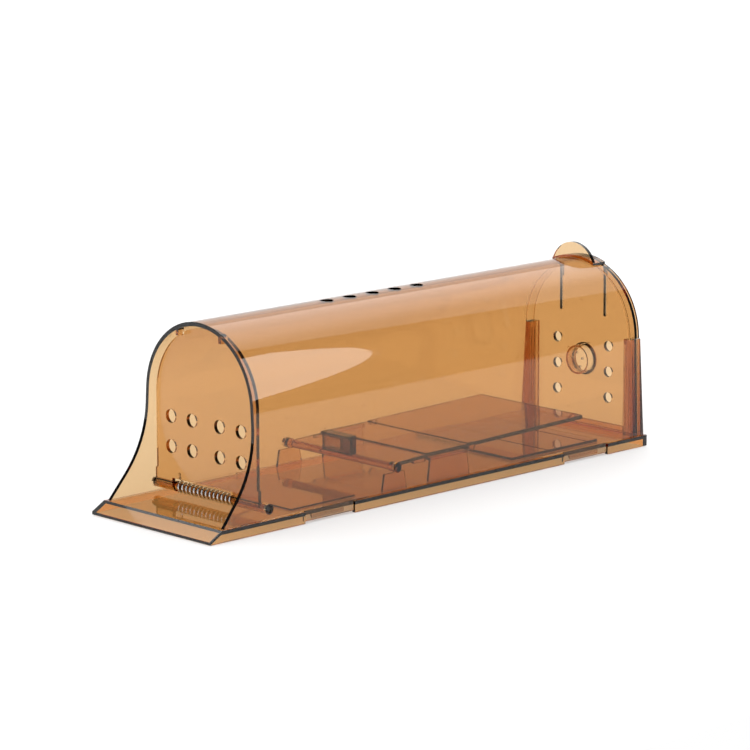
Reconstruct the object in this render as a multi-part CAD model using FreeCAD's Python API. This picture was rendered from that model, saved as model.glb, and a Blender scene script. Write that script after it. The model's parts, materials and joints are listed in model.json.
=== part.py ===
import FreeCAD, Part
import math
import os

# Live catch trap for small rodents: a clear tunnel on a flat base tray.
# Millimetres. X is the width, Y the length, Z up. The entry end faces -Y.
# The origin is the middle of the footprint, at the resting face.
# Places along the tunnel are given as distances back from the entry lip.

V = FreeCAD.Vector
os.makedirs("parts", exist_ok=True)

# ---- overall size
LENGTH = 320.0
WIDTH = 90.0

# ---- base tray
FLOOR_Z = 6.0             # top face of the tray
PLATE_T = 2.3             # thickness of the tray's top plate
SKIRT_T = 2.0             # wall round the tray's hollow underside
LIP_H = 1.5               # height of the entry lip's nose
RAMP_LEN = 8.0            # length of the sloped lip
PANEL_HALF = 36.5         # raised landing panel in front of the treadle
PANEL_FROM, PANEL_TO = 60.6, 105.0
PANEL_H = 0.8
PLATFORM_HALF = 36.2      # raised rear platform
PLATFORM_FROM, PLATFORM_TO = 221.0, 288.0
PLATFORM_H = 1.4
PLATFORM_GROOVES = (248.0, 279.0)
GROOVE_W = 1.2
SILL_FROM, SILL_TO = 311.5, 313.9
SILL_Z = 10.0
CLIP_LEN = 34.4           # the four windows that take the cover's snap tabs
CLIP_STARTS = (63.6, 253.8)
CLIP_IN_X = 41.5          # inner face of a window

# ---- tunnel cover
WALL = 2.2
ARCH_R = 40.5             # outside radius of the arch
ARCH_Z = 60.0             # height of the arch's centre
DRAFT = math.radians(3.5)  # the side walls lean outwards towards the tray
MOUTH_AT = 33.0           # front edge of the arch
FLARE_TOP_Z = 54.0        # the front edge sweeps forwards below this height
FLARE_R = 56.0
FLARE_END_Z = 18.0
FLARE_SLOPE = 0.84        # forward run per millimetre of drop, below the sweep
FOOT_Z = FLOOR_Z + 0.05   # the cover stands this close above the tray's top
ARCH_END = 310.0          # rear end of the arch
SIDE_END = 318.4          # rear end of the side walls, beside the guide posts
POST_IN_X = 35.0          # inner face of the rear guide posts
POST_TOP_Z = 59.4
POST_RIB_PITCH = 2.1
POST_RIB_R = 0.5
SLOT_FIT = 0.25           # room round the rear door in the posts' slots
TAB_EASE = 0.3            # room round a snap tab in its window
TAB_OUT_X = 44.2
TAB_FOOT_Z = 1.0
BARB_Z = (1.2, 3.4)       # the barb catches under the tray's plate
BARB_REACH = 0.8
BARB_INSET = 6.0
VENT_D = 7.0
VENT_COUNT = 5
VENT_FIRST = 121.2
VENT_PITCH = 16.24
STOP_X = 16.0             # two ribs that the shut front door rests on
STOP_FROM = 33.0
STOP_T = 2.0
STOP_GAP = 0.15
STOP_DROP = 3.0           # how far a rib hangs below the ceiling beside it

# ---- front door
DOOR_FRONT = 37.0         # outside face of the shut door
DOOR_T = 2.0
DOOR_HALF_TOP = 37.2
DOOR_HALF_LOW = 38.3
DOOR_LUG_Z = 20.0
DOOR_AXIS_AT = 40.5
DOOR_AXIS_Z = 11.2
KNUCKLE_R = 2.7           # the knuckles run on outwards as the door's trunnions
KNUCKLE_HALF = 43.4
SPRING_GAP_X = (-25.5, 19.0)   # the coil lies between the two knuckles
SPRING_GAP_Z = 16.2
DOOR_HOLE_D = 7.2
DOOR_HOLE_XS = (-26.4, -10.4, 10.4, 26.4)
DOOR_HOLE_ZS = (32.5, 48.2)

# ---- hinge pin and coil spring
PIN_R = 1.8
PIN_FIT = 0.06            # radial clearance of a pin in its bore
PIN_HALF = 43.0
PIN_CHAMFER = 0.3
WIRE_R = 0.6
COIL_R = 2.52             # to the middle of the wire
COIL_PITCH = 3.0
COIL_TURNS = 14
COIL_START_X = -24.4
FLOOR_LEG_LEN = 13.0
LEG_GAP = 0.1             # the floor leg stands this far above the tray
DOOR_LEG_LEN = 7.0
DOOR_LEG_LEAN = math.radians(10.0)

# ---- treadle
TREADLE_AT = 130.0        # trunnion axis
TREADLE_Z = 17.8
TREADLE_HALF = 38.1
TREADLE_T = 2.1
TRUNNION_R = 2.6
TRUNNION_HALF = 43.4
BAR_R = 2.1
UPRIGHT_X = (38.9, 40.2)  # the thin uprights under the trunnions and beside the flanks
SHELF_X = 36.7            # the rests have a shelf this far in, under the flanks
SHELF_T = 1.5
REST_FROM, REST_TO = 156.0, 183.0
REST_Z = 18.4
BEARING_FROM, BEARING_TO = 122.8, 137.0
BEARING_Z = 14.9          # the uprights under the trunnions end just below them
UPRIGHT_FOOT = 1.8        # each upright is this much longer at its foot, at each end
PLATE_TOPS = ((130.0, 19.3, 155.6, 20.1), (155.0, 20.8, 186.5, 21.0), (186.0, 21.4, 274.0, 23.1))
EAR_FROM, EAR_TO = 146.0, 154.4
EAR_T = 2.2
EAR_Z = (16.5, 19.5)
BOSS_AT, BOSS_Z, BOSS_R = 189.0, 19.2, 2.3

# ---- trigger hook
HOOK_HALF = 10.3
HOOK_FROM, HOOK_TO = 126.6, 131.2
HOOK_TOP = 29.4
HOOK_LIP_FROM = 125.4
HOOK_LIP_Z = 27.5
HOOK_FOOT_Z = 20.6
HOOK_FOOT_DEPTH = 1.3     # the foot reaches this far into the treadle
HOOK_WALL = 1.2
HOOK_SOLID_X = 3.2        # the block is solid from here to its +X end

# ---- rear door
REAR_PANEL = 315.0        # inner face of the sliding panel
REAR_T = 2.0
REAR_HALF = 38.0
CAP_FROM, CAP_TO = 310.3, 317.5
SLIT_X = 16.3
SLIT_W = 2.0
SLIT_BOTTOM = 69.5
REAR_HOLE_D = 6.0
REAR_HOLE_X = 19.0
REAR_HOLE_ZS = (23.7, 38.2, 52.6)
TAB_AT = 308.4
TAB_T = 2.2
TAB_HALF = 15.2
TAB_TOP = 109.2
HOOD_GAP = 0.3            # the tab's hood stands clear of the cover's end
HOOD_T = 1.1

# ---- bait cup
CUP_Z = 42.9
CUP_R = 8.1
CUP_INNER = 310.4         # the cup's closed end, just behind the cover's arch
CUP_WALL = 0.9
CUP_FIT = 0.05
CUP_RIM_R = 9.0           # thin rim that stops the cup at the panel's outside face
CUP_RIM_T = 0.8
SCENT_D = 1.3
SCENT_RING = 4.2
SCENT_COUNT = 5

BOTTOM = 0.0
SUNK = 1.0                # how deep a raised piece starts inside the tray's plate


def along(distance):
    """Y of a place that lies this far behind the entry lip."""
    return distance - LENGTH / 2.0


def box(x0, x1, d0, d1, z0, z1):
    """A block between two X values, two distances from the lip and two heights."""
    return Part.makeBox(x1 - x0, d1 - d0, z1 - z0, V(x0, along(d0), z0))


def rod_x(radius, x0, x1, distance, z):
    """A round bar along X."""
    return Part.makeCylinder(radius, x1 - x0, V(x0, along(distance), z), V(1, 0, 0))


def rod_y(radius, d0, d1, x, z):
    """A round bar along Y."""
    return Part.makeCylinder(radius, d1 - d0, V(x, along(d0), z), V(0, 1, 0))


def rod_z(radius, x, distance, z0, z1):
    """A round bar along Z."""
    return Part.makeCylinder(radius, z1 - z0, V(x, along(distance), z0))


def both_sides(shape):
    """The shape and its mirror image across the middle of the width."""
    return shape.fuse(shape.mirror(V(0, 0, 0), V(1, 0, 0)))


def side_profile(points, half):
    """A prism across the width from (distance, z) points."""
    corners = [V(-half, along(d), z) for d, z in points]
    face = Part.Face(Part.makePolygon(corners + corners[:1]))
    return face.extrude(V(2 * half, 0, 0))


def arch_face(inset, foot_z, distance):
    """The tunnel's cross-section: a round top on walls that lean out to foot_z."""
    radius = ARCH_R - inset
    y = along(distance)
    touch_x = radius * math.cos(DRAFT)
    touch_z = ARCH_Z + radius * math.sin(DRAFT)
    foot_x = touch_x + (touch_z - foot_z) * math.tan(DRAFT)
    crown = Part.Arc(V(touch_x, y, touch_z), V(0, y, ARCH_Z + radius), V(-touch_x, y, touch_z))
    edges = [
        Part.LineSegment(V(foot_x, y, foot_z), V(touch_x, y, touch_z)).toShape(),
        crown.toShape(),
        Part.LineSegment(V(-touch_x, y, touch_z), V(-foot_x, y, foot_z)).toShape(),
        Part.LineSegment(V(-foot_x, y, foot_z), V(foot_x, y, foot_z)).toShape(),
    ]
    return Part.Face(Part.Wire(edges))


def arch_block(inset, foot_z, d0, d1):
    """The solid that fills the tunnel's cross-section between two distances."""
    return arch_face(inset, foot_z, d0).extrude(V(0, d1 - d0, 0))


def save(name, shape):
    """Clean a node's shape, check it and write it."""
    shape = shape.removeSplitter()
    if shape.ShapeType == "Compound" and len(shape.Solids) == 1:
        shape = shape.Solids[0]
    print(name, "valid", shape.isValid(), "solids", len(shape.Solids), "volume", round(shape.Volume))
    shape.exportStep("parts/%s.step" % name)


def base_tray():
    """Hollow tray with a ramp lip, clip windows, bearing posts and rests."""
    half = WIDTH / 2.0
    tray = side_profile([(0, BOTTOM), (0, LIP_H), (RAMP_LEN, FLOOR_Z), (LENGTH, FLOOR_Z),
                         (LENGTH, BOTTOM)], half)
    ramp_slope = (FLOOR_Z - LIP_H) / RAMP_LEN
    plate_foot_z = FLOOR_Z - PLATE_T
    under = side_profile([(RAMP_LEN - plate_foot_z / ramp_slope, BOTTOM), (RAMP_LEN, plate_foot_z),
                          (LENGTH - SKIRT_T, plate_foot_z), (LENGTH - SKIRT_T, BOTTOM)],
                         half - SKIRT_T)
    tray = tray.cut(under)
    for start in CLIP_STARTS:
        window = box(CLIP_IN_X, half + 1.0, start, start + CLIP_LEN, BOTTOM - 1.0, FLOOR_Z + 1.0)
        tray = tray.cut(both_sides(window))
    raised = [
        box(-PANEL_HALF, PANEL_HALF, PANEL_FROM, PANEL_TO, FLOOR_Z - SUNK, FLOOR_Z + PANEL_H),
        box(-PLATFORM_HALF, PLATFORM_HALF, PLATFORM_FROM, PLATFORM_TO,
            FLOOR_Z - SUNK, FLOOR_Z + PLATFORM_H),
        box(-POST_IN_X + 1.0, POST_IN_X - 1.0, SILL_FROM, SILL_TO, FLOOR_Z - SUNK, SILL_Z),
    ]
    for piece in raised:
        tray = tray.fuse(piece)
    for groove in PLATFORM_GROOVES:
        tray = tray.cut(box(-PLATFORM_HALF - 1.0, PLATFORM_HALF + 1.0, groove, groove + GROOVE_W,
                            FLOOR_Z + PLATFORM_H / 2.0, FLOOR_Z + PLATFORM_H + 1.0))
    x0, x1 = UPRIGHT_X
    for start, end, top in ((BEARING_FROM, BEARING_TO, BEARING_Z), (REST_FROM, REST_TO, REST_Z)):
        outline = [(start - UPRIGHT_FOOT, FLOOR_Z - SUNK), (start, top), (end, top),
                   (end + UPRIGHT_FOOT, FLOOR_Z - SUNK)]
        upright = side_profile(outline, (x1 - x0) / 2.0)
        upright.translate(V((x0 + x1) / 2.0, 0, 0))
        tray = tray.fuse(both_sides(upright))
    shelf = box(SHELF_X, x0 + 0.1, REST_FROM, REST_TO, REST_Z - SHELF_T, REST_Z)
    tray = tray.fuse(both_sides(shelf))
    return tray


def cover_side_outline():
    """The cover seen from the side, as a solid across the whole width."""
    sweep_centre_d = MOUTH_AT - FLARE_R
    drop = FLARE_TOP_Z - FLARE_END_Z
    half_drop = drop / 2.0

    def sweep_at(z_below_top):
        return sweep_centre_d + math.sqrt(FLARE_R ** 2 - z_below_top ** 2)

    foot_d = sweep_at(drop) - FLARE_SLOPE * (FLARE_END_Z - FOOT_Z)
    top_z = ARCH_Z + ARCH_R + 5.0

    def at(d, z):
        return V(-WIDTH, along(d), z)

    edges = [
        Part.LineSegment(at(MOUTH_AT, top_z), at(MOUTH_AT, FLARE_TOP_Z)).toShape(),
        Part.Arc(at(MOUTH_AT, FLARE_TOP_Z), at(sweep_at(half_drop), FLARE_TOP_Z - half_drop),
                 at(sweep_at(drop), FLARE_END_Z)).toShape(),
        Part.LineSegment(at(sweep_at(drop), FLARE_END_Z), at(foot_d, FOOT_Z)).toShape(),
        Part.LineSegment(at(foot_d, FOOT_Z), at(SIDE_END, FOOT_Z)).toShape(),
        Part.LineSegment(at(SIDE_END, FOOT_Z), at(SIDE_END, POST_TOP_Z)).toShape(),
        Part.LineSegment(at(SIDE_END, POST_TOP_Z), at(ARCH_END, POST_TOP_Z)).toShape(),
        Part.LineSegment(at(ARCH_END, POST_TOP_Z), at(ARCH_END, top_z)).toShape(),
        Part.LineSegment(at(ARCH_END, top_z), at(MOUTH_AT, top_z)).toShape(),
    ]
    return Part.Face(Part.Wire(edges)).extrude(V(2 * WIDTH, 0, 0))


def guide_posts():
    """Two ribbed posts at the rear, each with a slot that the rear door slides in."""
    post = box(POST_IN_X, WIDTH / 2.0, ARCH_END, SIDE_END, FOOT_Z, POST_TOP_Z)
    post = post.common(arch_block(WALL / 2.0, FOOT_Z, ARCH_END - 1.0, SIDE_END + 1.0))
    post = post.cut(box(POST_IN_X - 1.0, REAR_HALF + SLOT_FIT, REAR_PANEL - SLOT_FIT,
                        REAR_PANEL + REAR_T + SLOT_FIT, FOOT_Z - 1.0, POST_TOP_Z + 1.0))
    for step in range(2):
        rib_d = ARCH_END + 1.3 + step * POST_RIB_PITCH
        post = post.cut(rod_z(POST_RIB_R, POST_IN_X, rib_d, FOOT_Z + 1.0, POST_TOP_Z - 3.0))
    return both_sides(post)


def tunnel_cover():
    """Clear arch with swept mouth, vents, pin holes, snap tabs and guide posts."""
    outside = arch_block(0.0, FOOT_Z, -10.0, LENGTH + 10.0)
    inside = arch_block(WALL, FOOT_Z - 5.0, -20.0, LENGTH + 20.0)
    cover = outside.common(cover_side_outline()).cut(inside)
    cover = cover.fuse(guide_posts())
    ceiling = arch_block(WALL / 2.0, FOOT_Z, STOP_FROM, DOOR_FRONT - STOP_GAP)
    ceiling_z = ARCH_Z + math.sqrt((ARCH_R - WALL) ** 2 - STOP_X ** 2)
    for side in (-1, 1):
        stop = box(side * STOP_X - STOP_T / 2.0, side * STOP_X + STOP_T / 2.0,
                   STOP_FROM, DOOR_FRONT - STOP_GAP, ceiling_z - STOP_DROP, ARCH_Z + ARCH_R)
        cover = cover.fuse(stop.common(ceiling))
    for start in CLIP_STARTS:
        cover = cover.fuse(both_sides(snap_tab(start)))
    for number in range(VENT_COUNT):
        vent_d = VENT_FIRST + number * VENT_PITCH
        cover = cover.cut(rod_z(VENT_D / 2.0, 0, vent_d, ARCH_Z, ARCH_Z + ARCH_R + 5.0))
    cover = cover.cut(rod_x(KNUCKLE_R + PIN_FIT, -WIDTH, WIDTH, DOOR_AXIS_AT, DOOR_AXIS_Z))
    cover = cover.cut(rod_x(TRUNNION_R + PIN_FIT, -WIDTH, WIDTH, TREADLE_AT, TREADLE_Z))
    return cover


def snap_tab(start):
    """A tab that drops through a window of the tray and hooks under its plate."""
    leaf = box(CLIP_IN_X + TAB_EASE, TAB_OUT_X, start + TAB_EASE, start + CLIP_LEN - TAB_EASE,
               TAB_FOOT_Z, FOOT_Z + 0.5)
    back_x, tip_x = CLIP_IN_X + TAB_EASE + 0.1, CLIP_IN_X - BARB_REACH
    barb_points = [(back_x, BARB_Z[0]), (back_x, BARB_Z[1]), (tip_x, BARB_Z[1])]
    corners = [V(x, along(start + BARB_INSET), z) for x, z in barb_points]
    face = Part.Face(Part.makePolygon(corners + corners[:1]))
    return leaf.fuse(face.extrude(V(0, CLIP_LEN - 2 * BARB_INSET, 0)))


def front_door():
    """Arched flap with eight air holes, on two hinge knuckles."""
    back = DOOR_FRONT + DOOR_T
    low = box(-DOOR_HALF_LOW, DOOR_HALF_LOW, DOOR_FRONT, back, DOOR_AXIS_Z, DOOR_LUG_Z)
    mid = box(-DOOR_HALF_TOP, DOOR_HALF_TOP, DOOR_FRONT, back, DOOR_LUG_Z, ARCH_Z - 0.6)
    crown = rod_y(DOOR_HALF_TOP, DOOR_FRONT, back, 0, ARCH_Z - 0.6)
    crown = crown.common(box(-WIDTH, WIDTH, DOOR_FRONT, back, ARCH_Z - 0.6, 2 * ARCH_Z))
    door = low.fuse(mid).fuse(crown)
    door = door.cut(box(SPRING_GAP_X[0], SPRING_GAP_X[1], DOOR_FRONT - 1, back + 1,
                        BOTTOM, SPRING_GAP_Z))
    for x0, x1 in ((-DOOR_HALF_LOW, SPRING_GAP_X[0]), (SPRING_GAP_X[1], DOOR_HALF_LOW)):
        inner, outer = (x1, -KNUCKLE_HALF) if x0 < 0 else (x0, KNUCKLE_HALF)
        knuckle = rod_x(KNUCKLE_R, min(inner, outer), max(inner, outer), DOOR_AXIS_AT, DOOR_AXIS_Z)
        web = box(x0, x1, DOOR_FRONT, DOOR_AXIS_AT, DOOR_AXIS_Z, DOOR_AXIS_Z + KNUCKLE_R)
        door = door.fuse(knuckle).fuse(web)
    door = door.cut(rod_x(PIN_R + PIN_FIT, -WIDTH, WIDTH, DOOR_AXIS_AT, DOOR_AXIS_Z))
    for x in DOOR_HOLE_XS:
        for z in DOOR_HOLE_ZS:
            door = door.cut(rod_y(DOOR_HOLE_D / 2.0, DOOR_FRONT - 1.0, back + 1.0, x, z))
    return door


def door_hinge_pin():
    """Straight pin through both of the door's knuckles and the coil between them."""
    pin = rod_x(PIN_R, -PIN_HALF, PIN_HALF, DOOR_AXIS_AT, DOOR_AXIS_Z)
    ends = [edge for edge in pin.Edges if edge.Curve.TypeId == "Part::GeomCircle"]
    return pin.makeChamfer(PIN_CHAMFER, ends)


def door_spring():
    """Torsion coil round the hinge pin, with a leg on the floor and one on the door."""
    coil_len = COIL_TURNS * COIL_PITCH
    helix = Part.makeHelix(COIL_PITCH, coil_len, COIL_R)
    section = Part.Wire(Part.makeCircle(WIRE_R, V(COIL_R, 0, 0), V(0, 1, 0)))
    coil = Part.Wire(helix.Edges).makePipeShell([section], True, True)
    coil.rotate(V(0, 0, 0), V(0, 1, 0), 90)
    coil.translate(V(COIL_START_X, along(DOOR_AXIS_AT), DOOR_AXIS_Z))
    end_x = COIL_START_X + coil_len
    leg_drop = DOOR_AXIS_Z - COIL_R - FLOOR_Z - WIRE_R - LEG_GAP
    floor_start = V(end_x, along(DOOR_AXIS_AT), DOOR_AXIS_Z - COIL_R)
    floor_leg = Part.makeCylinder(WIRE_R, FLOOR_LEG_LEN, floor_start,
                                  V(0, FLOOR_LEG_LEN, -leg_drop))
    lean_y, lean_z = math.sin(DOOR_LEG_LEAN), math.cos(DOOR_LEG_LEAN)
    door_start = V(COIL_START_X, along(DOOR_AXIS_AT) + COIL_R * lean_z, DOOR_AXIS_Z + COIL_R * lean_y)
    door_leg = Part.makeCylinder(WIRE_R, DOOR_LEG_LEN, door_start, V(0, -lean_y, lean_z))
    return coil.fuse(floor_leg).fuse(door_leg)


def treadle():
    """Rocking plate on two trunnions, with two cross steps and small side ears."""
    def plate(d0, z0, d1, z1):
        return side_profile([(d0, z0 - TREADLE_T), (d0, z0), (d1, z1), (d1, z1 - TREADLE_T)],
                            TREADLE_HALF)

    shape = rod_x(BAR_R, -TREADLE_HALF, TREADLE_HALF, TREADLE_AT, TREADLE_Z)
    for top in PLATE_TOPS:
        shape = shape.fuse(plate(*top))
    for x0, x1 in ((-TRUNNION_HALF, -TREADLE_HALF + 0.5), (TREADLE_HALF - 0.5, TRUNNION_HALF)):
        shape = shape.fuse(rod_x(TRUNNION_R, x0, x1, TREADLE_AT, TREADLE_Z))
    ear = box(TREADLE_HALF - EAR_T, TREADLE_HALF, EAR_FROM, EAR_TO, *EAR_Z)
    boss = rod_x(BOSS_R, TREADLE_HALF - EAR_T, TREADLE_HALF, BOSS_AT, BOSS_Z)
    return shape.fuse(both_sides(ear)).fuse(both_sides(boss))


def trigger_hook():
    """Block on the treadle's front edge, hollow for most of its width, whose lip holds the folded door."""
    block = box(-HOOK_HALF, HOOK_HALF, HOOK_FROM, HOOK_TO, HOOK_FOOT_Z - HOOK_FOOT_DEPTH, HOOK_TOP)
    window = box(-HOOK_HALF + HOOK_WALL, HOOK_SOLID_X, HOOK_FROM - 1, HOOK_TO - HOOK_WALL,
                 HOOK_FOOT_Z + HOOK_WALL / 2.0, HOOK_LIP_Z - HOOK_WALL / 2.0)
    lip = box(-HOOK_HALF, HOOK_HALF, HOOK_LIP_FROM, HOOK_FROM + 1.0, HOOK_LIP_Z, HOOK_TOP)
    return block.cut(window).fuse(lip)


def rear_door():
    """Sliding end panel with an arched cap, a springy tongue and a finger tab."""
    d0, d1 = REAR_PANEL, REAR_PANEL + REAR_T
    panel = box(-REAR_HALF, REAR_HALF, d0, d1, FLOOR_Z + 0.3, ARCH_Z)
    crown = arch_block(0.0, ARCH_Z - 0.2, CAP_FROM, CAP_TO)
    hollow = arch_block(WALL, ARCH_Z - 5.0, CAP_FROM - 1.0, d0)
    recess = arch_block(WALL, ARCH_Z - 5.0, d1, CAP_TO + 1.0)
    door = crown.cut(hollow).cut(recess)
    door = door.fuse(panel)
    for side in (-1, 1):
        x = side * SLIT_X
        door = door.cut(box(x - SLIT_W / 2, x + SLIT_W / 2, d0 - 1, d1 + 1,
                            SLIT_BOTTOM, ARCH_Z + ARCH_R - WALL - 3.3))
        door = door.cut(rod_y(SLIT_W / 2, d0 - 1, d1 + 1, x, SLIT_BOTTOM))
        for z in REAR_HOLE_ZS:
            door = door.cut(rod_y(REAR_HOLE_D / 2, d0 - 1, d1 + 1, side * REAR_HOLE_X, z))
    door = door.cut(rod_y(CUP_R + CUP_FIT, d0 - 1, d1 + 1, 0, CUP_Z))
    hood = arch_block(-HOOD_GAP - HOOD_T, ARCH_Z, TAB_AT - TAB_T / 2, d1)
    hood = hood.cut(arch_block(-HOOD_GAP, ARCH_Z - 5, TAB_AT - TAB_T, CAP_FROM))
    hood = hood.cut(arch_block(WALL, ARCH_Z - 5, CAP_FROM - 1, d1 + 1))
    hood = hood.common(box(-TAB_HALF, TAB_HALF, 0, LENGTH, ARCH_Z, 2 * ARCH_Z))
    return door.fuse(hood).fuse(finger_tab())


def finger_tab():
    """Upright half-disc at the front of the hood."""
    foot_z = ARCH_Z + math.sqrt((ARCH_R + HOOD_GAP) ** 2 - TAB_HALF ** 2)
    rise = TAB_TOP - foot_z
    radius = (TAB_HALF ** 2 + rise ** 2) / (2 * rise)
    disc = rod_y(radius, TAB_AT - TAB_T / 2, TAB_AT + TAB_T / 2, 0, TAB_TOP - radius)
    disc = disc.common(box(-TAB_HALF, TAB_HALF, 0, LENGTH, foot_z, 2 * ARCH_Z))
    return disc.cut(arch_block(-HOOD_GAP, ARCH_Z - 5, TAB_AT - TAB_T, CAP_FROM))


def bait_cup():
    """Thin cup pushed into the rear door from outside, with scent holes in its closed end."""
    outside = REAR_PANEL + REAR_T
    cup = rod_y(CUP_R, CUP_INNER, outside + CUP_RIM_T, 0, CUP_Z)
    cup = cup.fuse(rod_y(CUP_RIM_R, outside, outside + CUP_RIM_T, 0, CUP_Z))
    cup = cup.cut(rod_y(CUP_R - CUP_WALL, CUP_INNER + CUP_WALL, outside + CUP_RIM_T + 1, 0, CUP_Z))
    for number in range(SCENT_COUNT):
        turn = 2 * math.pi * number / SCENT_COUNT
        cup = cup.cut(rod_y(SCENT_D / 2, CUP_INNER - 1, CUP_INNER + CUP_WALL + 1,
                            SCENT_RING * math.sin(turn), CUP_Z + SCENT_RING * math.cos(turn)))
    return cup


save("base_tray", base_tray())
save("tunnel_cover", tunnel_cover())
save("front_door", front_door())
save("door_hinge_pin", door_hinge_pin())
save("door_spring", door_spring())
hook = trigger_hook()
save("treadle", treadle().cut(hook))
save("trigger_hook", hook)
save("rear_door", rear_door())
save("bait_cup", bait_cup())
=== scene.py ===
import json
import math

import bpy
from mathutils import Matrix, Vector


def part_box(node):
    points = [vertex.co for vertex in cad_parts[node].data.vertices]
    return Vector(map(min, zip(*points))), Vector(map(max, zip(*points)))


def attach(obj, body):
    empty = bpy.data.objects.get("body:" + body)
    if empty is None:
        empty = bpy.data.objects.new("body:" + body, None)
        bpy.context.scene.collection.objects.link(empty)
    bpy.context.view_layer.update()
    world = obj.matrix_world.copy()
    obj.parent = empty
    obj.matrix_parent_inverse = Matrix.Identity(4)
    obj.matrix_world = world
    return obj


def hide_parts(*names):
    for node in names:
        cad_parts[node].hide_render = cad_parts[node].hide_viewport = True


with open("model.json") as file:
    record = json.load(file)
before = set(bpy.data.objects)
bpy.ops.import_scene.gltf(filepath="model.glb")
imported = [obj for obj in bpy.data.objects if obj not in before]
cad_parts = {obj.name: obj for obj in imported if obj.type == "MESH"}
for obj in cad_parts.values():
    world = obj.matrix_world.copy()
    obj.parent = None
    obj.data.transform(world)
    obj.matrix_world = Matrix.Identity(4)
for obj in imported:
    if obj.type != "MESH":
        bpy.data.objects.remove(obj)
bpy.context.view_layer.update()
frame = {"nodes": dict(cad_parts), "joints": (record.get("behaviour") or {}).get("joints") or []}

bl_info = {
    "name": "Live catch trap finish",
    "version": (1, 0, 0),
    "blender": (4, 5, 0),
    "location": "View3D > Sidebar > Catch Trap",
    "description": "Gives the packed live catch trap its clear amber mouldings, its coil spring and a stage",
    "category": "Object",
}

MM = 0.001
UP = Vector((0.0, 0.0, 1.0))
BACKWARD = Vector((0.0, 1.0, 0.0))     # from the entry towards the rear door

# Table and soft boxes of the stage. A box's long side lies along long_axis.
TABLE_SIZE = 14.0
FLOOR_DROP = 0.4 * MM     # the table lies this far under the trap's resting face
LIGHT_BOUNCES = 32
OVERHEAD_BOX = {"centre": (-0.46, 0.92, 1.0), "facing": (0, 0, -1), "long_axis": (0.44, 0.90, 0.0),
                "width": 1.4, "length": 2.2}
SIDE_BOX = {"centre": (0.812, 0.458, 0.66), "facing": (-1, -1, 0), "long_axis": (-0.30, 0.30, 0.90),
            "width": 0.6, "length": 1.15}

# The mirrored room is white ahead and behind, and dim at its two sides. These are the shares of
# a direction that points sideways where the dimming starts and where it is full.
SIDE_WALL_FROM = 0.35
SIDE_WALL_FULL = 0.6

# Parts of the round wire's section and of one turn of the coil.
WIRE_SIDES = 12
TURN_STEPS = 28
LEG_BEND_STEPS = 6
LEG_LEAN = math.radians(10.0)     # how far past level the wire has turned where the door leg rises
LEG_BEND = math.radians(50.0)     # how much of the coil's last turn belongs to the door leg
LEG_PARTS = 3
TIP_LENGTH = 0.2                  # of the wire's diameter
TIP_SHRINK = 0.6
END_REACH = 0.55                  # of the wire's diameter: how far an open end's points are looked for
MERGE_WITHIN = 0.001 * MM
SMOOTH_BELOW = math.radians(50.0)

# Depth of the waves that a mould and a drawing die leave, and how strongly they show.
COVER_WAVE = 0.02 * MM
TRAY_WAVE = 0.002 * MM
MOULD_STRENGTH = 0.5
DIE_WAVE = 0.02 * MM
DIE_STRENGTH = 0.4
COVER_FLOW = 9.0
USUAL_FLOW = 22.0
MARK_ROUGHENS = 0.08              # how much rougher a handling mark is than a clean face
FLOOR_ROUGHNESS = 0.7
SENSOR_WIDTH = 36.0

# Places of a mix node's two inputs and its result, for values and for colours.
MIX_PLACES = {"FLOAT": (2, 3, 0), "RGBA": (6, 7, 2)}

# The hinge line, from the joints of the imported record.
JOINTS = {joint["name"]: joint for joint in frame["joints"]}
DOOR_AXIS = Vector(JOINTS["front_door_hinge"]["pos_m"])

# The box of the CAD node that the new spring is placed by.
SPRING_LOW, SPRING_HIGH = (Vector(corner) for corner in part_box("door_spring"))


# ---------------------------------------------------------------- settings

class TrapPlasticSettings(bpy.types.PropertyGroup):
    """Colour and finish of the clear mouldings."""

    cover_tint: bpy.props.FloatVectorProperty(
        name="Cover tint",
        description="Share of each colour that one wall of the cover or a door lets through",
        default=(0.785, 0.565, 0.33), size=3, subtype="COLOR", min=0.01, max=0.99)
    tray_tint: bpy.props.FloatVectorProperty(
        name="Tray tint", description="The same for the more orange tray",
        default=(0.82, 0.51, 0.205), size=3, subtype="COLOR", min=0.01, max=0.99)
    # Painted shade: the hook's tint is darker and greyer than the cover's, so its colour stands in for the
    # shade of its thick, light-trapping body.
    hook_painted_shade_tint: bpy.props.FloatVectorProperty(
        name="Hook tint with painted shade", description="The same for the trigger hook, darkened as painted shade of its thick body",
        default=(0.50, 0.34, 0.20), size=3, subtype="COLOR", min=0.01, max=0.99)
    wall: bpy.props.FloatProperty(
        name="Wall thickness", description="Thickness that the tints are given for",
        default=2.2 * MM, min=0.1 * MM, unit="LENGTH")
    refraction: bpy.props.FloatProperty(
        name="Refraction", description="Index of refraction of the plastic", default=1.49, min=1.0, max=2.5)
    gloss_roughness: bpy.props.FloatProperty(
        name="Roughness", description="Roughness of a clean moulded face",
        default=0.02, min=0.0, max=1.0, subtype="FACTOR")


class TrapSpringSettings(bpy.types.PropertyGroup):
    """Sizes of the coil spring on the front door's hinge."""

    wire: bpy.props.FloatProperty(
        name="Wire", description="Diameter of the spring wire", default=1.2 * MM, min=0.2 * MM, unit="LENGTH")
    turns: bpy.props.IntProperty(
        name="Turns", description="Number of turns in the coil", default=14, min=3, max=40)
    colour: bpy.props.FloatVectorProperty(
        name="Wire colour", description="Colour of the bright plated wire",
        default=(0.80, 0.81, 0.83), size=3, subtype="COLOR", min=0.0, max=1.0)


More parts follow.
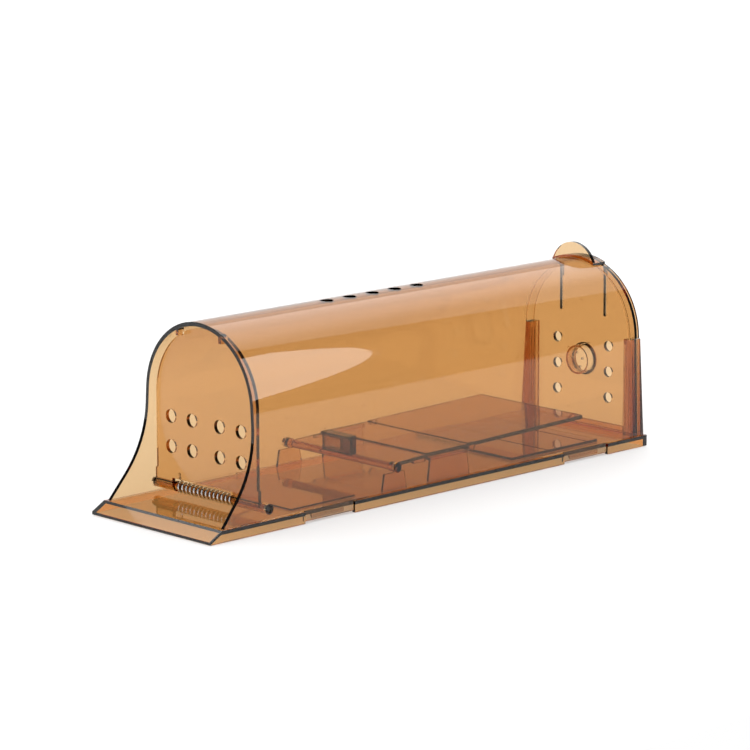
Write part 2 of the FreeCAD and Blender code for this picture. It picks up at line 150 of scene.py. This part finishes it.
class TrapStageSettings(bpy.types.PropertyGroup):
    """Camera, floor and lights."""

    azimuth: bpy.props.FloatProperty(
        name="Azimuth", description="Angle of the camera round the trap",
        default=math.radians(45.83), unit="ROTATION")
    elevation: bpy.props.FloatProperty(
        name="Elevation", description="Angle of the camera above the floor",
        default=math.radians(11.59), unit="ROTATION")
    distance: bpy.props.FloatProperty(
        name="Distance", description="Distance from the camera to the point it looks at",
        default=1.9409, min=0.1, unit="LENGTH")
    target: bpy.props.FloatVectorProperty(
        name="Target", description="Point that the camera looks at",
        default=(-0.03939, 0.03408, 0.045), size=3, subtype="TRANSLATION", unit="LENGTH")
    lens: bpy.props.FloatProperty(
        name="Lens", description="Focal length on a 36 mm sensor", default=172.8, min=10.0)
    floor_colour: bpy.props.FloatVectorProperty(
        name="Floor", description="Colour of the pale floor",
        default=(0.36, 0.36, 0.36), size=3, subtype="COLOR", min=0.0, max=1.0)
    room_light: bpy.props.FloatProperty(
        name="Room light", description="Brightness of the room as it lights the table", default=2.1, min=0.0)
    room_gloss: bpy.props.FloatProperty(
        name="Room in reflections", description="Brightness of the room as glossy faces mirror it",
        default=0.1, min=0.0, max=2.0)
    floor_glow: bpy.props.FloatProperty(
        name="Table glow", description="Light that comes up through the table",
        default=0.40, min=0.0, max=2.0)
    table_edge: bpy.props.FloatProperty(
        name="Table edge", description="Distance from the trap's middle to the near edge of the white table",
        default=0.41, min=0.1, unit="LENGTH")
    overhead_glow: bpy.props.FloatProperty(
        name="Overhead light", description="Brightness of the soft box over the trap", default=1.0, min=0.0)
    side_glow: bpy.props.FloatProperty(
        name="Side light", description="Brightness of the tall soft box beside the trap",
        default=4.0, min=0.0)


def settings():
    """The scene's three groups of trap settings."""
    scene = bpy.context.scene
    return scene.trap_plastic, scene.trap_spring, scene.trap_stage


# ---------------------------------------------------------------- shader groups

def group_tree(name, inputs, outputs):
    """An empty shader node group with the named float or colour sockets."""
    tree = bpy.data.node_groups.new(name, "ShaderNodeTree")
    for label, kind, value in inputs:
        socket = tree.interface.new_socket(label, in_out="INPUT", socket_type=kind)
        socket.default_value = value
    for label, kind in outputs:
        tree.interface.new_socket(label, in_out="OUTPUT", socket_type=kind)
    return tree, tree.nodes.new("NodeGroupInput"), tree.nodes.new("NodeGroupOutput")


def mixed(tree, kind, mask, low, high):
    """The result of mixing two sockets by a mask, as a FLOAT or an RGBA."""
    mix = tree.nodes.new("ShaderNodeMix")
    mix.data_type = kind
    first, second, result = MIX_PLACES[kind]
    tree.links.new(mask, mix.inputs[0])
    tree.links.new(low, mix.inputs[first])
    tree.links.new(high, mix.inputs[second])
    return mix.outputs[result]


def mask_of(tree, value, nothing, full):
    """A mask that is 0 where the value is at nothing and 1 where it is at full."""
    spread = tree.nodes.new("ShaderNodeMapRange")
    spread.inputs["From Min"].default_value = nothing
    spread.inputs["From Max"].default_value = full
    tree.links.new(value, spread.inputs["Value"])
    return spread.outputs["Result"]


def noise_on(tree, detail):
    """A noise texture in the piece's own coordinates."""
    place = tree.nodes.new("ShaderNodeTexCoord")
    noise = tree.nodes.new("ShaderNodeTexNoise")
    noise.inputs["Detail"].default_value = detail
    tree.links.new(place.outputs["Object"], noise.inputs["Vector"])
    return noise


def moulded_surface_group():
    """Faint waviness, handling marks and specks of a moulded face, as height, roughness and colour."""
    tree, given, result = group_tree(
        "Moulded surface",
        [("Clean Roughness", "NodeSocketFloat", 0.02),
         ("Marked Roughness", "NodeSocketFloat", 0.12),
         ("Flow Scale", "NodeSocketFloat", 22.0),
         ("Mark Scale", "NodeSocketFloat", 90.0),
         ("Speck Scale", "NodeSocketFloat", 70.0),
         ("Clean Colour", "NodeSocketColor", (1, 1, 1, 1)),
         ("Speck Colour", "NodeSocketColor", (0.7, 0.6, 0.5, 1))],
        [("Roughness", "NodeSocketFloat"), ("Height", "NodeSocketFloat"), ("Colour", "NodeSocketColor")])
    links = tree.links

    flow = noise_on(tree, 1.0)
    links.new(given.outputs["Flow Scale"], flow.inputs["Scale"])
    links.new(flow.outputs["Fac"], result.inputs["Height"])

    marks = noise_on(tree, 5.0)
    marks.inputs["Roughness"].default_value = 0.6
    links.new(given.outputs["Mark Scale"], marks.inputs["Scale"])
    marked = mask_of(tree, marks.outputs["Fac"], 0.58, 0.76)
    rough = mixed(tree, "FLOAT", marked, given.outputs["Clean Roughness"], given.outputs["Marked Roughness"])
    links.new(rough, result.inputs["Roughness"])

    place = tree.nodes.new("ShaderNodeTexCoord")
    specks = tree.nodes.new("ShaderNodeTexVoronoi")
    links.new(place.outputs["Object"], specks.inputs["Vector"])
    links.new(given.outputs["Speck Scale"], specks.inputs["Scale"])
    in_speck = mask_of(tree, specks.outputs["Distance"], 0.055, 0.02)
    colour = mixed(tree, "RGBA", in_speck, given.outputs["Clean Colour"], given.outputs["Speck Colour"])
    links.new(colour, result.inputs["Colour"])
    return tree


def drawn_wire_group():
    """Fine lines and dull spots of drawn and plated wire, as roughness, height and colour."""
    tree, given, result = group_tree(
        "Drawn wire",
        [("Bright Colour", "NodeSocketColor", (0.8, 0.8, 0.82, 1)),
         ("Dull Colour", "NodeSocketColor", (0.5, 0.49, 0.48, 1)),
         ("Bright Roughness", "NodeSocketFloat", 0.12),
         ("Dull Roughness", "NodeSocketFloat", 0.34),
         ("Spot Scale", "NodeSocketFloat", 900.0)],
        [("Colour", "NodeSocketColor"), ("Roughness", "NodeSocketFloat"), ("Height", "NodeSocketFloat")])
    links = tree.links
    spots = noise_on(tree, 4.0)
    links.new(given.outputs["Spot Scale"], spots.inputs["Scale"])
    links.new(spots.outputs["Fac"], result.inputs["Height"])
    dull = mask_of(tree, spots.outputs["Fac"], 0.50, 0.72)
    colour = mixed(tree, "RGBA", dull, given.outputs["Bright Colour"], given.outputs["Dull Colour"])
    links.new(colour, result.inputs["Colour"])
    rough = mixed(tree, "FLOAT", dull, given.outputs["Bright Roughness"], given.outputs["Dull Roughness"])
    links.new(rough, result.inputs["Roughness"])
    return tree


def shared_group(name, build):
    """The node group of this name, built the first time it is asked for."""
    return bpy.data.node_groups.get(name) or build()


# ---------------------------------------------------------------- materials

def clear_plastic(name, tint, wall, refraction, roughness, wave, flow_scale):
    """Clear moulded plastic whose colour deepens with the thickness looked through."""
    material = bpy.data.materials.new(name)
    material.use_nodes = True
    nodes, links = material.node_tree.nodes, material.node_tree.links
    shader = nodes["Principled BSDF"]
    shader.inputs["IOR"].default_value = refraction
    shader.inputs["Transmission Weight"].default_value = 1.0

    surface = nodes.new("ShaderNodeGroup")
    surface.node_tree = shared_group("Moulded surface", moulded_surface_group)
    surface.inputs["Clean Roughness"].default_value = roughness
    surface.inputs["Marked Roughness"].default_value = roughness + MARK_ROUGHENS
    surface.inputs["Flow Scale"].default_value = flow_scale
    links.new(surface.outputs["Roughness"], shader.inputs["Roughness"])
    links.new(surface.outputs["Colour"], shader.inputs["Base Color"])

    bump = nodes.new("ShaderNodeBump")
    bump.inputs["Strength"].default_value = MOULD_STRENGTH
    bump.inputs["Distance"].default_value = wave
    links.new(surface.outputs["Height"], bump.inputs["Height"])
    links.new(bump.outputs["Normal"], shader.inputs["Normal"])

    losses = [-math.log(share) / wall for share in tint]
    density = max(losses)
    depth = nodes.new("ShaderNodeVolumeAbsorption")
    depth.inputs["Color"].default_value = [1.0 - loss / density for loss in losses] + [1.0]
    depth.inputs["Density"].default_value = density
    links.new(depth.outputs["Volume"], nodes["Material Output"].inputs["Volume"])
    return material


def plated_wire(name, colour):
    """Bright plated spring wire."""
    material = bpy.data.materials.new(name)
    material.use_nodes = True
    nodes, links = material.node_tree.nodes, material.node_tree.links
    shader = nodes["Principled BSDF"]
    shader.inputs["Metallic"].default_value = 1.0
    wire = nodes.new("ShaderNodeGroup")
    wire.node_tree = shared_group("Drawn wire", drawn_wire_group)
    wire.inputs["Bright Colour"].default_value = (*colour, 1.0)
    links.new(wire.outputs["Colour"], shader.inputs["Base Color"])
    links.new(wire.outputs["Roughness"], shader.inputs["Roughness"])
    bump = nodes.new("ShaderNodeBump")
    bump.inputs["Distance"].default_value = DIE_WAVE
    bump.inputs["Strength"].default_value = DIE_STRENGTH
    links.new(wire.outputs["Height"], bump.inputs["Height"])
    links.new(bump.outputs["Normal"], shader.inputs["Normal"])
    return material


def trap_plastic(label, tint, wave=COVER_WAVE, flow_scale=USUAL_FLOW):
    """Clear plastic of this tint with the trap's shared finish."""
    plastic = settings()[0]
    return clear_plastic(label, tuple(tint), plastic.wall, plastic.refraction,
                         plastic.gloss_roughness, wave, flow_scale)


# ---------------------------------------------------------------- mesh helpers

def deselect_all():
    """Leave edit mode and select nothing."""
    if bpy.context.object and bpy.context.object.mode != "OBJECT":
        bpy.ops.object.mode_set(mode="OBJECT")
    bpy.ops.object.select_all(action="DESELECT")


def pick(piece):
    """Make this the only selected and the active object."""
    deselect_all()
    piece.select_set(True)
    bpy.context.view_layer.objects.active = piece


def finish_node(node, material):
    """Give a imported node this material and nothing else."""
    slots = frame["nodes"][node].data.materials
    slots.clear()
    slots.append(material)


# ---------------------------------------------------------------- pieces

class TRAP_OT_housing(bpy.types.Operator):
    """Give the tunnel cover and the base tray their clear amber plastic"""

    bl_idname = "trap.housing"
    bl_label = "Cover and tray"

    def execute(self, context):
        plastic = settings()[0]
        finish_node("tunnel_cover", trap_plastic("Cover plastic", plastic.cover_tint, flow_scale=COVER_FLOW))
        finish_node("base_tray", trap_plastic("Tray plastic", plastic.tray_tint, wave=TRAY_WAVE))
        return {"FINISHED"}


class TRAP_OT_doors(bpy.types.Operator):
    """Give the front door, its pin, the rear door and the bait cup their clear amber plastic"""

    bl_idname = "trap.doors"
    bl_label = "Doors and bait cup"

    def execute(self, context):
        plastic = trap_plastic("Door plastic", settings()[0].cover_tint)
        for node in ("front_door", "door_hinge_pin", "rear_door", "bait_cup"):
            finish_node(node, plastic)
        return {"FINISHED"}


class TRAP_OT_treadle(bpy.types.Operator):
    """Give the treadle its clear amber plastic and the trigger hook a darker tint of it that paints in the
    shade of its thick body
    """

    bl_idname = "trap.treadle"
    bl_label = "Treadle and hook"

    def execute(self, context):
        plastic = settings()[0]
        finish_node("treadle", trap_plastic("Treadle plastic", plastic.cover_tint))
        # The hook's darker tint is painted shade of its thick body.
        finish_node("trigger_hook", trap_plastic("Hook plastic with painted shade", plastic.hook_painted_shade_tint))
        return {"FINISHED"}


class TRAP_OT_spring(bpy.types.Operator):
    """Wind the torsion spring on the front door's hinge pin, with one leg on the tray and one on the door"""

    bl_idname = "trap.spring"
    bl_label = "Door spring"

    def execute(self, context):
        spring = settings()[1]
        wire = spring.wire
        coil_radius = DOOR_AXIS.y - SPRING_LOW.y - wire / 2
        metal = plated_wire("Spring wire", tuple(spring.colour))
        start_x = SPRING_LOW.x + wire / 2
        end_x = SPRING_HIGH.x - wire / 2
        coil = wound_coil("spring_coil", start_x, end_x, spring.turns, coil_radius, wire, metal)
        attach(coil, "housing")
        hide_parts("door_spring")
        leg = door_leg("spring_door_leg", start_x, coil_radius, wire, metal)
        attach(leg, "front_flap")
        return {"FINISHED"}


def turned_wire(label, x, start_angle, sweep, steps, turns, pitch, radius, wire):
    """A ring of the wire's thickness, turned round the hinge line. Both its ends are left open."""
    deselect_all()
    bpy.ops.mesh.primitive_circle_add(
        vertices=WIRE_SIDES, radius=wire / 2, location=(x, DOOR_AXIS.y, DOOR_AXIS.z),
        rotation=(start_angle, 0, 0))
    piece = bpy.context.object
    piece.name = label
    bpy.ops.object.mode_set(mode="EDIT")
    bpy.ops.mesh.select_all(action="SELECT")
    bpy.ops.transform.translate(value=on_circle(radius, start_angle))
    bpy.ops.object.mode_set(mode="OBJECT")
    winding = piece.modifiers.new("Winding", "SCREW")
    winding.axis = "X"
    winding.angle = sweep
    winding.steps = steps
    winding.render_steps = steps
    winding.iterations = turns
    winding.screw_offset = pitch
    bpy.ops.object.modifier_apply(modifier=winding.name)
    bpy.ops.object.transform_apply(location=True, rotation=True, scale=True)
    return piece


def on_circle(radius, angle):
    """The step from the hinge line to a circle of this radius round it."""
    return Vector((0.0, radius * math.cos(angle), radius * math.sin(angle)))


def select_ring(piece, centre, reach):
    """Select the points of the open end that lie within reach of its centre."""
    bpy.ops.object.mode_set(mode="EDIT")
    bpy.ops.mesh.select_mode(type="VERT")
    bpy.ops.mesh.select_all(action="DESELECT")
    bpy.ops.object.mode_set(mode="OBJECT")
    for point in piece.data.vertices:
        point.select = (point.co - centre).length < reach
    bpy.ops.object.mode_set(mode="EDIT")


def draw_out(piece, end, run, parts, wire):
    """Draw the wire out of its open end along the run, in equal parts, and round off its tip."""
    select_ring(piece, end, END_REACH * wire)
    for _ in range(parts):
        bpy.ops.mesh.extrude_region_move(TRANSFORM_OT_translate={"value": run / parts})
    tip = run.normalized() * wire * TIP_LENGTH
    bpy.ops.mesh.extrude_region_move(TRANSFORM_OT_translate={"value": tip})
    bpy.ops.transform.resize(value=(TIP_SHRINK, TIP_SHRINK, TIP_SHRINK), center_override=end + run + tip)
    bpy.ops.mesh.edge_face_add()
    bpy.ops.object.mode_set(mode="OBJECT")


def smooth_wire(piece, metal):
    """Turn the wire's faces outwards, shade it round and give it its metal."""
    pick(piece)
    bpy.ops.object.mode_set(mode="EDIT")
    bpy.ops.mesh.select_all(action="SELECT")
    bpy.ops.mesh.remove_doubles(threshold=MERGE_WITHIN)
    bpy.ops.mesh.normals_make_consistent(inside=False)
    bpy.ops.object.mode_set(mode="OBJECT")
    bpy.ops.object.shade_smooth_by_angle(angle=SMOOTH_BELOW)
    piece.data.materials.append(metal)


def wound_coil(label, start_x, end_x, turns, radius, wire, metal):
    """The coil and its leg along the tray, in one wire. It starts and ends under the hinge line."""
    under = -math.pi / 2
    pitch = (end_x - start_x) / turns
    coil = turned_wire(label, start_x, under, 2 * math.pi, TURN_STEPS, turns, pitch, radius, wire)
    hinge = Vector((0.0, DOOR_AXIS.y, DOOR_AXIS.z))
    first = hinge + on_circle(radius, under) + Vector((start_x, 0.0, 0.0))
    last = first + Vector((end_x - start_x, 0.0, 0.0))
    foot = Vector((end_x, SPRING_HIGH.y - wire / 2, SPRING_LOW.z + wire / 2))
    draw_out(coil, first, -BACKWARD * wire * TIP_LENGTH, 1, wire)
    draw_out(coil, last, foot - last, LEG_PARTS, wire)
    smooth_wire(coil, metal)
    return coil


def door_leg(label, x, radius, wire, metal):
    """The spring's leg that lies behind the door and turns with it."""
    start_angle = LEG_LEAN - LEG_BEND
    leg = turned_wire(label, x, start_angle, LEG_BEND, LEG_BEND_STEPS, 1, 0.0, radius, wire)
    hinge = Vector((x, DOOR_AXIS.y, DOOR_AXIS.z))
    low_end = hinge + on_circle(radius, start_angle)
    high_end = hinge + on_circle(radius, LEG_LEAN)
    rise = SPRING_HIGH.z - wire / 2 - high_end.z
    backward = on_circle(wire * TIP_LENGTH, start_angle - math.pi / 2)
    draw_out(leg, low_end, backward, 1, wire)
    draw_out(leg, high_end, UP * rise - BACKWARD * rise * math.tan(LEG_LEAN), LEG_PARTS, wire)
    smooth_wire(leg, metal)
    return leg


# ---------------------------------------------------------------- stage

def soft_box(label, glow, centre, facing, long_axis, width, length):
    """A rectangular studio light of even brightness, with its long side along long_axis."""
    light = bpy.data.lights.new(label, "AREA")
    light.shape = "RECTANGLE"
    light.size = width
    light.size_y = length
    light.energy = glow * math.pi * width * length
    lamp = bpy.data.objects.new(label, light)
    bpy.context.scene.collection.objects.link(lamp)
    back = -Vector(facing).normalized()
    up = Vector(long_axis)
    up = (up - back * up.dot(back)).normalized()
    side = up.cross(back)
    lamp.matrix_world = Matrix((side, up, back)).transposed().to_4x4()
    lamp.location = centre
    lamp.visible_camera = False
    lamp.visible_transmission = False
    lamp.visible_diffuse = False
    return lamp


def white_room(stage):
    """A white room; in reflections its two side walls are dim."""
    world = bpy.data.worlds.new("White room")
    world.use_nodes = True
    nodes, links = world.node_tree.nodes, world.node_tree.links
    path = nodes.new("ShaderNodeLightPath")
    direction = nodes.new("ShaderNodeTexCoord")
    across = nodes.new("ShaderNodeVectorMath")
    across.operation = "DOT_PRODUCT"
    across.inputs[1].default_value = (math.cos(stage.azimuth), math.sin(stage.azimuth), 0.0)
    links.new(direction.outputs["Generated"], across.inputs[0])
    off_axis = nodes.new("ShaderNodeMath")
    off_axis.operation = "ABSOLUTE"
    links.new(across.outputs["Value"], off_axis.inputs[0])
    mirrored_room = nodes.new("ShaderNodeMapRange")
    mirrored_room.interpolation_type = "SMOOTHSTEP"
    mirrored_room.inputs["From Min"].default_value = SIDE_WALL_FROM
    mirrored_room.inputs["From Max"].default_value = SIDE_WALL_FULL
    mirrored_room.inputs["To Min"].default_value = 1.0
    mirrored_room.inputs["To Max"].default_value = stage.room_gloss
    links.new(off_axis.outputs[0], mirrored_room.inputs["Value"])

    direct, bounced, result = MIX_PLACES["FLOAT"]
    seen = chosen_by_depth(nodes, links, path.outputs["Glossy Depth"])
    seen.inputs[direct].default_value = 1.0
    links.new(mirrored_room.outputs["Result"], seen.inputs[bounced])
    lit = chosen_by_depth(nodes, links, path.outputs["Diffuse Depth"])
    links.new(seen.outputs[result], lit.inputs[direct])
    lit.inputs[bounced].default_value = stage.room_light
    links.new(lit.outputs[result], nodes["Background"].inputs["Strength"])
    nodes["Background"].inputs["Color"].default_value = (1, 1, 1, 1)
    world.cycles.sampling_method = "NONE"
    return world


def chosen_by_depth(nodes, links, depth):
    """A mix that gives its first value to rays of depth 0 and its second to all others."""
    bounced = nodes.new("ShaderNodeMath")
    bounced.operation = "MINIMUM"
    bounced.inputs[1].default_value = 1.0
    links.new(depth, bounced.inputs[0])
    choice = nodes.new("ShaderNodeMix")
    choice.data_type = "FLOAT"
    links.new(bounced.outputs[0], choice.inputs[0])
    return choice


class TRAP_OT_stage(bpy.types.Operator):
    """Set the camera, the pale floor and the soft studio lights"""

    bl_idname = "trap.stage"
    bl_label = "Stage"

    def execute(self, context):
        stage = settings()[2]
        scene = context.scene
        lens = bpy.data.cameras.new("Camera")
        lens.lens = stage.lens
        lens.sensor_width = SENSOR_WIDTH
        camera = bpy.data.objects.new("Camera", lens)
        scene.collection.objects.link(camera)
        target = Vector(stage.target)
        flat = math.cos(stage.elevation)
        back = Vector((math.sin(stage.azimuth) * flat,
                       -math.cos(stage.azimuth) * flat,
                       math.sin(stage.elevation)))
        camera.location = target + back * stage.distance
        camera.rotation_euler = back.to_track_quat("Z", "Y").to_euler()
        scene.camera = camera

        deselect_all()
        bpy.ops.mesh.primitive_plane_add(
            size=TABLE_SIZE, location=(stage.table_edge - TABLE_SIZE / 2, 0, -FLOOR_DROP))
        floor = context.object
        floor.name = "studio_floor"
        paint = bpy.data.materials.new("Floor paint")
        paint.use_nodes = True
        shader = paint.node_tree.nodes["Principled BSDF"]
        shader.inputs["Base Color"].default_value = (*stage.floor_colour, 1.0)
        shader.inputs["Roughness"].default_value = FLOOR_ROUGHNESS
        shader.inputs["Emission Color"].default_value = (1.0, 1.0, 1.0, 1.0)
        shader.inputs["Emission Strength"].default_value = stage.floor_glow
        floor.data.materials.append(paint)

        scene.world = white_room(stage)
        scene.view_settings.view_transform = "Standard"
        scene.cycles.max_bounces = LIGHT_BOUNCES
        scene.cycles.transmission_bounces = LIGHT_BOUNCES
        scene.cycles.transparent_max_bounces = LIGHT_BOUNCES
        soft_box("Overhead light", stage.overhead_glow, **OVERHEAD_BOX)
        soft_box("Side light", stage.side_glow, **SIDE_BOX)
        return {"FINISHED"}


class TRAP_PT_panel(bpy.types.Panel):
    """Sizes and finishes of the trap, and the steps that make it."""

    bl_label = "Catch Trap"
    bl_idname = "TRAP_PT_panel"
    bl_space_type = "VIEW_3D"
    bl_region_type = "UI"
    bl_category = "Catch Trap"

    def draw(self, context):
        scene = context.scene
        for group in (scene.trap_plastic, scene.trap_spring, scene.trap_stage):
            box = self.layout.box()
            for name in group.__annotations__:
                box.prop(group, name)
        for step in STEPS:
            self.layout.operator(step.bl_idname)


GROUPS = (
    (TrapPlasticSettings, "trap_plastic"),
    (TrapSpringSettings, "trap_spring"),
    (TrapStageSettings, "trap_stage"),
)
STEPS = (TRAP_OT_stage, TRAP_OT_housing, TRAP_OT_doors, TRAP_OT_treadle, TRAP_OT_spring)


def register():
    """Make the settings, the operators and the panel known to Blender."""
    for group, name in GROUPS:
        bpy.utils.register_class(group)
        setattr(bpy.types.Scene, name, bpy.props.PointerProperty(type=group))
    for step in STEPS:
        bpy.utils.register_class(step)
    bpy.utils.register_class(TRAP_PT_panel)


def unregister():
    """Take them away again."""
    bpy.utils.unregister_class(TRAP_PT_panel)
    for step in reversed(STEPS):
        bpy.utils.unregister_class(step)
    for group, name in reversed(GROUPS):
        delattr(bpy.types.Scene, name)
        bpy.utils.unregister_class(group)


def main():
    """Make the whole trap and its stage."""
    register()
    bpy.ops.trap.stage()
    bpy.ops.trap.housing()
    bpy.ops.trap.doors()
    bpy.ops.trap.treadle()
    bpy.ops.trap.spring()


if __name__ == "__main__":
    main()
